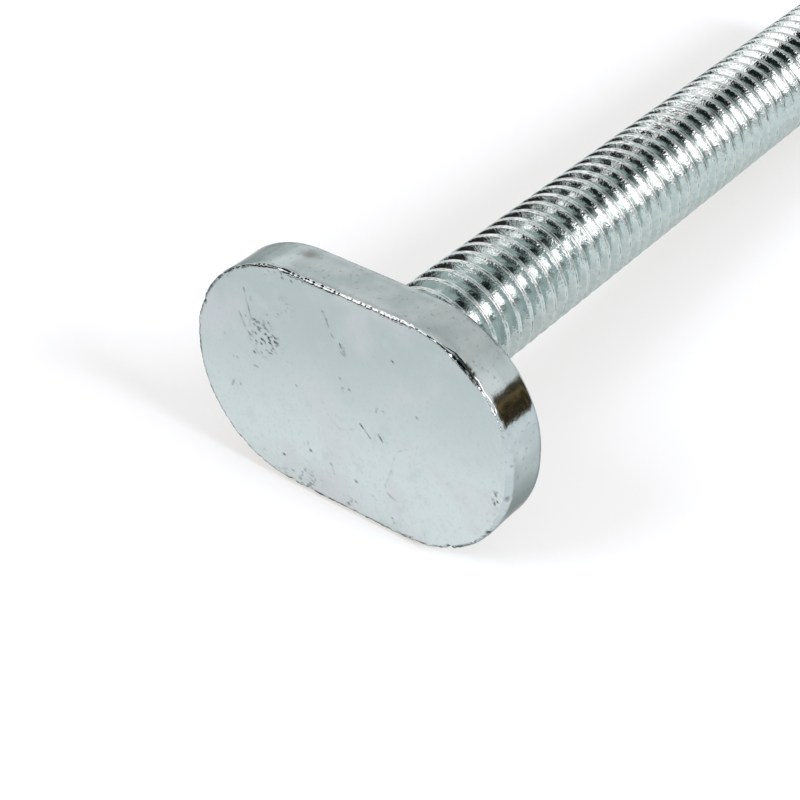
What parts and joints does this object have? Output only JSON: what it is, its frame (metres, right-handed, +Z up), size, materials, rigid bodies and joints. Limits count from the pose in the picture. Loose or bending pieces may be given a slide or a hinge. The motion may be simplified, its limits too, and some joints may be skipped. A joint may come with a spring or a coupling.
{
  "type": "t slot bolt",
  "caption": "Bolt with a flat oblong head for a t slot and a fully threaded round shank, lying on its side.",
  "frame": {"origin": "where the shank's axis meets the bearing face under the head", "axes": "+X along the shank from head to tip as seen from above, with the axis itself dipping 3.53 degrees below +X as the bolt lies at rest; +Y along the head's length; +Z up from the surface it lies on"},
  "size_m": [0.0529, 0.018, 0.0121],
  "materials": {
    "zinc_plated_steel": "satin"
  },
  "bodies": {
    "root": {"t_slot_bolt": "zinc_plated_steel"}
  },
  "joints": []
}
